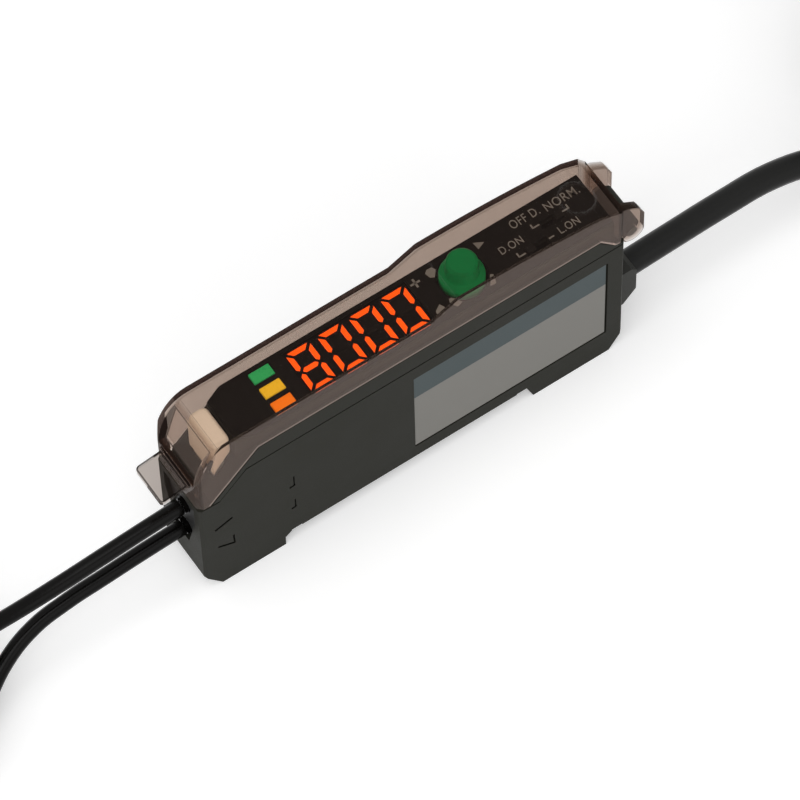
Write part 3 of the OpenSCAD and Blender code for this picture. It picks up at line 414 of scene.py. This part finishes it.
# Jog knob: green plastic, a round drum on a wider round foot, pushed on to the post of a small
# rocker that tilts both ways on its base and springs back. The two slide switches beside it are
# of the same black plastic as that base.
dress(moulded("switch_black", paint(22, 21, 20), 0.5, sheen=0.06), "jog_switch_base", "jog_rocker",
      "mode_switch_case", "timer_switch_case", "mode_slider", "timer_slider")
knob_green = moulded("knob_green", paint(0, 133, 70), 0.34, depth=0.006, tone=0.15, sheen=0.06)
knob_cap = add_piece("knob_cap", softened("jog_knob", 0.1), knob_green, "jog_knob")
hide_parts("jog_knob")

# Lock button: a beige block moulded with rounded edges, clipped to the top of the fibre clamp.
# A push on it frees the fibres.
lock_beige = moulded("lock_beige", paint(244, 233, 214), 0.42, depth=0.006, tone=0.12)
lock_corner, lock_brow = 0.8, 0.5
touch = 0.01
low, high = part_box("lock_button")
shape = bmesh.new()
bmesh.ops.create_cube(shape, size=1)
bmesh.ops.scale(shape, verts=shape.verts, vec=high - low)
bmesh.ops.translate(shape, verts=shape.verts, vec=(low + high) / 2)
rear_foot = min(vert.co.z for vert in nodes["lock_button"].data.vertices if vert.co.x > high.x - touch * mm)
cut = bmesh.ops.bisect_plane(shape, geom=[*shape.verts, *shape.edges, *shape.faces], plane_co=low,
                             plane_no=(low.z - rear_foot, 0, high.x - low.x), clear_inner=True)
cut_edges = [part for part in cut["geom_cut"] if isinstance(part, bmesh.types.BMEdge)]
bmesh.ops.contextual_create(shape, geom=cut_edges)
upright = [edge for edge in shape.edges if abs((edge.verts[0].co - edge.verts[1].co).z) > mm]
round_edges(shape, upright, lock_corner, 8)
top_rim = [edge for edge in shape.edges if all(vert.co.z > high.z - touch * mm for vert in edge.verts)]
round_edges(shape, top_rim, lock_brow, 6)
lock_cap = add_piece("lock_cap", shape, lock_beige, "fibre_lock", smooth_angle=40)
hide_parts("lock_button")

# Cover: one moulding of clear smoky plastic, polished, thin in the walls and dark where a wall is
# seen along its length. Two lugs at the cable end snap over the pins of the case.
cover_smoke = clear("cover_smoke", tint=(0.71, 0.65, 0.61), refraction=1.06, depth=0.7)
tree = cover_smoke.node_tree
shader = tree.nodes["Principled BSDF"]
shader.inputs["Coat Roughness"].default_value = 0.02
shader.inputs["Coat IOR"].default_value = 1.3
# The emission carries painted light: the painted reflection and the painted edge glow set on the faces
# further down.
shader.inputs["Emission Strength"].default_value = 1
cover_smoke.cycles.emission_sampling = "NONE"


def moulded_line(tree, distance, width):
    """1 on a moulded line and 0 off it, from the distance to its middle and its width in millimetres."""
    away = reckon(tree, "ABSOLUTE", distance)
    return put(tree, "ShaderNodeMapRange",
               [(0, away), ("From Max", width * mm), ("To Min", 1.0), ("To Max", 0.0)],
               interpolation_type="SMOOTHSTEP").outputs[0]


def blended(tree, share, colour, other):
    """A colour that goes over into another by a share from 0 to 1."""
    return put(tree, "ShaderNodeMix", [(0, share), (6, colour), (7, other)], data_type="RGBA").outputs[2]


# The gate's round mark and the crease at the foot of the high roof gleam a little.
gate_middle = (fibre_end + 60.5 * mm, -0.4 * mm, 0)
gate_r, gate_line_w = 2.4, 0.25
crease_s, crease_line_w = 39.4, 0.15
least_upward = 0.8
place = put(tree, "ShaderNodeTexCoord")
from_gate = put(tree, "ShaderNodeVectorMath", [(0, place.outputs["Object"]), (1, gate_middle)],
                operation="SUBTRACT").outputs[0]
level_only = put(tree, "ShaderNodeVectorMath", [(0, from_gate), (1, (1, 1, 0))],
                 operation="MULTIPLY").outputs[0]
gate_reach = put(tree, "ShaderNodeVectorMath", [(0, level_only)], operation="LENGTH").outputs["Value"]
spot = put(tree, "ShaderNodeSeparateXYZ", [(0, place.outputs["Object"])])
along = reckon(tree, "SUBTRACT", spot.outputs["X"], fibre_end)
gate_mark = moulded_line(tree, reckon(tree, "SUBTRACT", gate_reach, gate_r * mm), gate_line_w)
crease_mark = moulded_line(tree, reckon(tree, "SUBTRACT", along, crease_s * mm), crease_line_w)
upward = put(tree, "ShaderNodeSeparateXYZ", [(0, place.outputs["Normal"])]).outputs["Z"]
on_top = reckon(tree, "GREATER_THAN", upward, least_upward)
tree.links.new(reckon(tree, "MULTIPLY", reckon(tree, "MAXIMUM", gate_mark, crease_mark), on_top),
               shader.inputs["Coat Weight"])

# The rim of the far wall is dark from its edge down, and so are the edges of tab, window and lugs.
case_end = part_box("upper_frame")[1].x
cover_low, cover_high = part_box("cover")
high_z = cover_high.z
roof_step = 1.9
low_z = high_z - roof_step * mm
ramp_s, ramp_l = 35.3, 4.1
crest_s, crown_r = 41, 141
nose_l, nose_h = 5, 8.1
fall_l, fall_slope = 3.4, 0.34
rim_h, front_l, wall_skin = 1.6, 1.9, 0.03
rim_smoke = (0.003, 0.0012, 0.001, 1)
roof = put(tree, "ShaderNodeMapRange",
           [(0, along), ("From Min", ramp_s * mm), ("From Max", (ramp_s + ramp_l) * mm),
            ("To Min", low_z), ("To Max", high_z)]).outputs[0]
past_crest = reckon(tree, "MAXIMUM", reckon(tree, "SUBTRACT", along, crest_s * mm), 0)
crown = reckon(tree, "DIVIDE", reckon(tree, "MULTIPLY", past_crest, past_crest), 2 * crown_r * mm)
past_break = reckon(tree, "MAXIMUM", reckon(tree, "SUBTRACT", along, case_end - fibre_end - fall_l * mm), 0)
fall = reckon(tree, "MULTIPLY", past_break, fall_slope)
into_nose = put(tree, "ShaderNodeMapRange",
                [(0, along), ("From Min", nose_l * mm), ("From Max", 0.0)]).outputs[0]
nose_rise = reckon(tree, "SQRT", reckon(tree, "SUBTRACT", 1, reckon(tree, "MULTIPLY", into_nose, into_nose)))
nose_drop = reckon(tree, "MULTIPLY", reckon(tree, "SUBTRACT", 1, nose_rise), nose_h * mm)
for drop in (crown, fall, nose_drop):
    roof = reckon(tree, "SUBTRACT", roof, drop)
below_roof = reckon(tree, "SUBTRACT", roof, spot.outputs["Z"])
rim = reckon(tree, "MAXIMUM", reckon(tree, "LESS_THAN", below_roof, rim_h * mm),
             reckon(tree, "LESS_THAN", along, front_l * mm))
far_side = reckon(tree, "GREATER_THAN", spot.outputs["Y"], cover_high.y - wall_skin * mm)
depth_seen = put(tree, "ShaderNodeAttribute", attribute_name="wall_depth").outputs["Fac"]
darkness = reckon(tree, "MAXIMUM", depth_seen, reckon(tree, "MULTIPLY", rim, far_side))
tree.links.new(blended(tree, darkness, (1, 1, 1, 1), rim_smoke), shader.inputs["Base Color"])

# Each face is as dark as the wall behind it is deep. On the flank and the nose, and faintly on every other
# face, an even emitted glow is painted in as the reflection of the pale room in the polished face.
flank_painted_reflection, nose_painted_reflection, roof_painted_reflection = 0.24, 0.14, 0.018
brow_depth, edge_depth, lug_depth, tab_depth = 0.5, 0.85, 0.22, 0.3
nose_slant_depth, slant_depth, cheek_depth = 1, 0.5, 0.9
past_end, flank_skin = 0.3, 0.05
window_l, cheek_y = 3.2, 3
shape = softened("cover", 0.12)
wall_depth = shape.faces.layers.float.new("wall_depth")
# Share of painted glow per face: the painted reflection on flank, nose and roof, and the painted glow along
# the lower edge.
painted_glow = shape.faces.layers.float.new("painted_glow")
tab_top, window_slope, lug_sides = [], [], []
for face in shape.faces:
    middle, facing = face.calc_center_median(), face.normal
    from_end = (middle.x - fibre_end) / mm
    faces_near, faces_out = facing.y < -0.9, facing.x < -0.5
    on_brow = facing.y < -0.2 and facing.z > 0.2
    on_far_slant = facing.y > 0.5 and abs(facing.x) > 0.3
    on_window = facing.x < -0.8 and facing.z > 0.1 and abs(middle.y) < mm
    on_flank = middle.y < cover_low.y + flank_skin * mm
    on_lug = middle.x > case_end + past_end * mm
    face[painted_glow] = nose_painted_reflection if faces_out else roof_painted_reflection
    if faces_near and (on_flank or on_lug):
        face[painted_glow] = flank_painted_reflection
    if face.select:
        face[wall_depth] = brow_depth if on_brow else edge_depth
    elif on_lug:
        face[wall_depth] = lug_depth
        if faces_near:
            lug_sides.append(face)
    elif from_end < -past_end:
        face[wall_depth] = tab_depth
        if facing.z > least_upward:
            tab_top.append(face)
    elif on_far_slant:
        face[wall_depth] = nose_slant_depth if from_end < nose_l else slant_depth
    elif from_end < window_l and faces_near and middle.y > cheek_y * mm:
        face[wall_depth] = cheek_depth
    elif from_end < window_l and on_window:
        window_slope.append(face)


def edge_strip(faces, width):
    """A strip of a width in millimetres along the inside of each face's outline."""
    return bmesh.ops.inset_region(shape, faces=faces, thickness=width * mm, use_even_offset=True,
                                  use_boundary=True)["faces"]


for faces, width, deep in ((tab_top, 0.2, 0.95), (window_slope, 0.3, 0.9), (lug_sides, 0.18, 0.7)):
    for face in edge_strip(faces, width):
        face[wall_depth] = deep

# A painted glow on a strip along the lower edge of the near wall stands in for the light that runs down
# inside the wall and comes out there.
painted_glow_pink = (0.33, 0.26, 0.23, 1)
edge_w, edge_painted_glow = 0.26, 0.8
edge_rise, edge_start, edge_stop = 0.6, 1.2, 0.3
painted_glow_share = put(tree, "ShaderNodeAttribute", attribute_name="painted_glow").outputs["Fac"]
tree.links.new(blended(tree, painted_glow_share, (0, 0, 0, 1), painted_glow_pink), shader.inputs["Emission Color"])
near_wall = max((face for face in shape.faces if face.normal.y < -0.99), key=lambda face: face.calc_area())
wall_rear = max(vert.co.x for vert in near_wall.verts)
for face in edge_strip([near_wall], edge_w):
    middle = face.calc_center_median()
    along_wall = fibre_end + edge_start * mm < middle.x < wall_rear - edge_stop * mm
    if along_wall and middle.z < panel_top + edge_rise * mm:
        face[painted_glow] = edge_painted_glow
cover_shell = add_piece("cover_shell", shape, cover_smoke, "cover")
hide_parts("cover")

# Label: satin foil stuck in a shallow recess of the near side, printed grey with a darker band
# along its top edge. What is printed on the real one is left off.
band_edge = 17.87
label_grey, band_grey = paint(126, 124, 119), paint(64, 75, 77)
label_foil = moulded("label_foil", label_grey, 0.38, grain_size=0.1, depth=0.002, tone=0.12, sheen=0.1)
tree = label_foil.node_tree
spot = put(tree, "ShaderNodeTexCoord").outputs["Object"]
height = put(tree, "ShaderNodeSeparateXYZ", [(0, spot)]).outputs["Z"]
in_band = reckon(tree, "GREATER_THAN", height, band_edge * mm)
tree.links.new(blended(tree, in_band, label_grey, band_grey), tree.nodes["moulded_grain"].inputs["Colour"])
dress(label_foil, "label_plate")

# Cable: black sheath of soft plastic over four cores, held in a grey rubber bush in the end wall.
# It runs straight out, drops to the table, and the rest is folded into a hank held by two ties.
bush_rubber = moulded("bush_rubber", paint(54, 54, 51), 0.55, sheen=0.12)
bush_shape = softened("cable_bush", 0.6, segments=4, least_l=1)
cable_bush = add_piece("bush_block", bush_shape, bush_rubber, "base")
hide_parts("cable_bush")
sheath_black = moulded("sheath_black", paint(25, 25, 24), 0.34, grain_size=0.25, depth=0.006, sheen=0.14)
dress(sheath_black, "cable_stub")
dress(moulded("core_brown", paint(120, 72, 34), 0.4), "inner_cores")

cable_d = 3.7
hank_start, hank_end = 90.5, 130.5
hank_y = 5
hank_bends = (14.8, 11.1)
hank_floor = 2.25
hank_turns = 12
straight_shares, bend_step = (0.33, 0.67), 30
cable_lead = [(36.4, 0, 9.5), (44, 0, 9.9), (52, 0, 10.2), (60, -0.2, 10.2), (67, -1.4, 9.3), (74, -3.6, 7.3),
              (80, -6, 5), (86, -8.4, 3.1)]
cable_tail = [(90.5, -9.8, 24.5), (96, -9.7, 24.5), (102, -9.2, 24.5), (107, -8.7, 24.5), (112, -8.2, 24.5),
              (114, -8, 24.5)]


def hank_turn(index):
    """Radius at the bends and height of a turn: out, in, in, out, and a layer up every two turns."""
    layer, place = divmod(index, 2)
    return hank_bends[place if layer % 2 == 0 else 1 - place], hank_floor + layer * cable_d


def on_bend(centre_x, centre_y, reach, degrees, level):
    """A point of a bend, by its reach from the centre, its angle and its height."""
    angle = math.radians(degrees)
    return centre_x + reach * math.cos(angle), centre_y + reach * math.sin(angle), level


hank = []
for index in range(hank_turns):
    bend, level = hank_turn(index)
    next_bend, next_level = hank_turn(index + 1) if index + 1 < hank_turns else (bend, cable_tail[0][2])
    for share in (0, *straight_shares):
        hank.append((hank_start + share * (hank_end - hank_start), hank_y - bend, level))
    for degrees in range(-90, 91, bend_step):
        hank.append(on_bend(hank_end, hank_y, bend, degrees, level))
    for share in straight_shares:
        hank.append((hank_end + share * (hank_start - hank_end), hank_y + bend, level))
    for degrees in range(90, 270, bend_step):
        share = (degrees - 90) / 180
        reach = bend + share * (next_bend - bend)
        hank.append(on_bend(hank_start, hank_y, reach, degrees, level + share * (next_level - level)))


def lay_cord(name, route, diameter, finish):
    """A cord along a route of points in millimetres, as one smooth curve with a round section."""
    curve = bpy.data.curves.new(name, "CURVE")
    curve.dimensions = "3D"
    curve.bevel_depth = diameter / 2 * mm
    curve.bevel_resolution = 4
    curve.resolution_u = 5
    curve.use_fill_caps = True
    spline = curve.splines.new("BEZIER")
    spline.bezier_points.add(len(route) - 1)
    for knot, place in zip(spline.bezier_points, route):
        knot.co = Vector(place) * mm
        knot.handle_left_type = knot.handle_right_type = "AUTO"
    curve.materials.append(finish)
    cord = bpy.data.objects.new(name, curve)
    scene.collection.objects.link(cord)
    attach(cord, "base")
    return cord


power_cord = lay_cord("power_cord", cable_lead + hank + cable_tail, cable_d, sheath_black)
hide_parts("power_cable", "power_cable_coil")
core_start = Vector(cable_tail[-1]) + Vector((0.3, 0, 0))
core_r, wire_r = 0.5, 0.3
core_l, bare_l, wire_grip = 11, 3, 0.5
core_gap = 0.75
core_droop, core_splay = 92, 4
rim_angle = 60
core_places = {"brown": (-1, 1, paint(104, 62, 34)), "blue": (1, 1, paint(38, 74, 138)),
               "black": (-1, -1, paint(26, 26, 26)), "white": (1, -1, paint(206, 204, 196))}
bare_wires = bmesh.new()
for name, (side, level, colour) in core_places.items():
    droop = Matrix.Rotation(math.radians(core_droop), 4, "Y")
    splay = Matrix.Rotation(math.radians(side * (core_splay + level)), 4, "Z")
    lie = Matrix.Translation((core_start + core_gap * Vector((0, side, level))) * mm) @ splay @ droop
    covered = bmesh.new()
    for shape, radius, start, end in ((covered, core_r, 0, core_l - bare_l),
                                      (bare_wires, wire_r, core_l - bare_l - wire_grip, core_l)):
        made = bmesh.ops.create_cone(shape, cap_ends=True, segments=20, radius1=radius * mm,
                                     radius2=radius * mm, depth=(end - start) * mm)["verts"]
        halfway = Matrix.Translation((0, 0, (start + end) / 2 * mm))
        bmesh.ops.transform(shape, matrix=lie @ halfway, verts=made)
        rims = {edge for vert in made for edge in vert.link_edges
                if edge.calc_face_angle() > math.radians(rim_angle)}
        round_edges(shape, list(rims), radius / 4, 2)
    core_finish = moulded("core_" + name, colour, 0.4)
    add_piece("core_" + name, covered, core_finish, "base")
tinned_copper = plated("tinned_copper", paint(206, 158, 120), 0.35)
add_piece("core_wires", bare_wires, tinned_copper, "base")
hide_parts("cable_cores")
tie_nylon = moulded("tie_nylon", paint(228, 228, 222), 0.4)
hank_ties = add_piece("hank_ties", softened("cable_ties", 0.12), tie_nylon, "base")
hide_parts("cable_ties")

# Fibres: two plastic fibres in glossy black sheaths, one above the other, pushed into the holder.
# Each is wound into a ring with a tie, and ends in a small threaded sensing head.
fibre_gloss = moulded("fibre_gloss_black", paint(9, 8, 7), 0.2, grain_size=0.5, depth=0.004, sheen=0.09)
dress(fibre_gloss, "fibre_tips")
fibre_d = 2.2
ring_y = 5
ring_bends = (15.8, 13.6, 11.4, 9.2)
ring_floor = 1.5
ring_layers = 6
lower_ring_x = -79.5
upper_ring_x = -114
lower_lead = [(-32.2, 0, 10.2), (-38, 0, 9.9), (-44, 0, 9.4), (-50, 0, 8.8), (-55, -0.3, 7.9),
              (-60, -1.7, 6.5), (-65, -4.5, 4.8), (-70, -7.6, 3.1), (-75, -10, 1.9)]
lower_tail = [(-94.6, 9, 13), (-92.2, 12.6, 13.9), (-88.4, 15, 14.7), (-84, 15.8, 15.15)]
upper_lead = [(-32.2, 0, 15.7), (-38, 0, 15.3), (-44, 0, 14.8), (-50, 0, 14.3), (-56, -0.1, 14.2),
              (-62, -0.4, 14.7), (-68, -1, 14.9), (-74, -1.9, 15), (-80, -3, 15), (-86, -4.3, 15),
              (-92, -5.9, 14.9), (-98, -7.6, 14.3), (-104, -9.3, 13.3), (-109, -10.4, 12.7)]
upper_tail = [(-109, 20.7, 1.5), (-103.4, 20.3, 1.5)]


def ring_turns(centre_x, turns, upwards):
    """Points of a ring wound clockwise from its near side, out to in and back, a layer at a time."""
    steps, step_over = 16, 0.25
    per_layer = len(ring_bends)

    def slot_of(turn):
        layer, place = divmod(turn, per_layer)
        level = ring_floor + fibre_d * (layer if upwards else ring_layers - 1 - layer)
        return ring_bends[place if layer % 2 == 0 else per_layer - 1 - place], level

    points = []
    for step in range(int(turns * steps) + 1):
        turn, part = divmod(step, steps)
        shift = max(0, part / steps - (1 - step_over)) / step_over
        bend, level = slot_of(turn)
        next_bend, next_level = slot_of(turn + 1)
        bend += shift * (next_bend - bend)
        level += shift * (next_level - level)
        points.append(on_bend(centre_x, ring_y, bend, -90 - 360 * step / steps, level))
    return points


lower_route = lower_lead + ring_turns(lower_ring_x, 23.25, True) + lower_tail
upper_route = upper_lead + ring_turns(upper_ring_x, 23.5, False) + upper_tail
ring_ties = []
middle_x = (lower_ring_x + upper_ring_x) / 2 * mm
for level, side in (("lower", 1), ("upper", -1)):
    shape = softened("fibre_ties", 0.1)
    other_tie = [vert for vert in shape.verts if (vert.co.x - middle_x) * side < 0]
    bmesh.ops.delete(shape, geom=other_tie, context="VERTS")
    ring_ties.append(add_piece(level + "_ring_tie", shape, tie_nylon, "base"))
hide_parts("fibre_ties")
head_brass = plated("head_brass", paint(196, 176, 128), 0.3)
head_l, head_r = 12, 1.5
collar_l, collar_edge = 2.2, 0.2
tip_l, tip_r, tip_edge = 2, 1.1, 0.15
eye_r, eye_depth = 0.5, 0.3
pitch, thread_depth = 0.5, 0.2
root_end, crest_start, crest_end = 0.2, 0.55, 0.65
root_r = head_r - thread_depth
thread_l = head_l - tip_l - collar_l
head_outline = [(0, 0), (0, head_r - collar_edge), (collar_edge, head_r), (collar_l - collar_edge, head_r),
                (collar_l, root_r)]
for groove in range(int(thread_l / pitch)):
    start = collar_l + groove * pitch
    head_outline += [(start + root_end * pitch, root_r), (start + crest_start * pitch, head_r),
                     (start + crest_end * pitch, head_r), (start + pitch, root_r)]
head_outline += [(head_l - tip_l, tip_r), (head_l - tip_edge, tip_r), (head_l, tip_r - tip_edge),
                 (head_l, eye_r), (head_l - eye_depth, eye_r), (head_l - eye_depth, 0)]
for level, route, ring_tie in (("lower", lower_route, ring_ties[0]), ("upper", upper_route, ring_ties[1])):
    fibre = lay_cord(level + "_fibre_cord", route, fibre_d, fibre_gloss)
    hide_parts(level + "_fibre", level + "_fibre_coil")
    low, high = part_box(level + "_fibre_head")
    shape = bmesh.new()
    rim = [shape.verts.new((along * mm, 0, out * mm)) for along, out in head_outline]
    edges = [shape.edges.new(pair) for pair in zip(rim, rim[1:])]
    bmesh.ops.spin(shape, geom=rim + edges, cent=(0, 0, 0), axis=(1, 0, 0), angle=2 * math.pi, steps=36,
                   use_merge=True)
    bmesh.ops.remove_doubles(shape, verts=shape.verts, dist=weld_gap * mm)
    bmesh.ops.recalc_face_normals(shape, faces=shape.faces)
    bmesh.ops.translate(shape, verts=shape.verts, vec=(low.x, (low.y + high.y) / 2, (low.z + high.z) / 2))
    head = add_piece(level + "_sensing_head", shape, head_brass, "base")
    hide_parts(level + "_fibre_head")
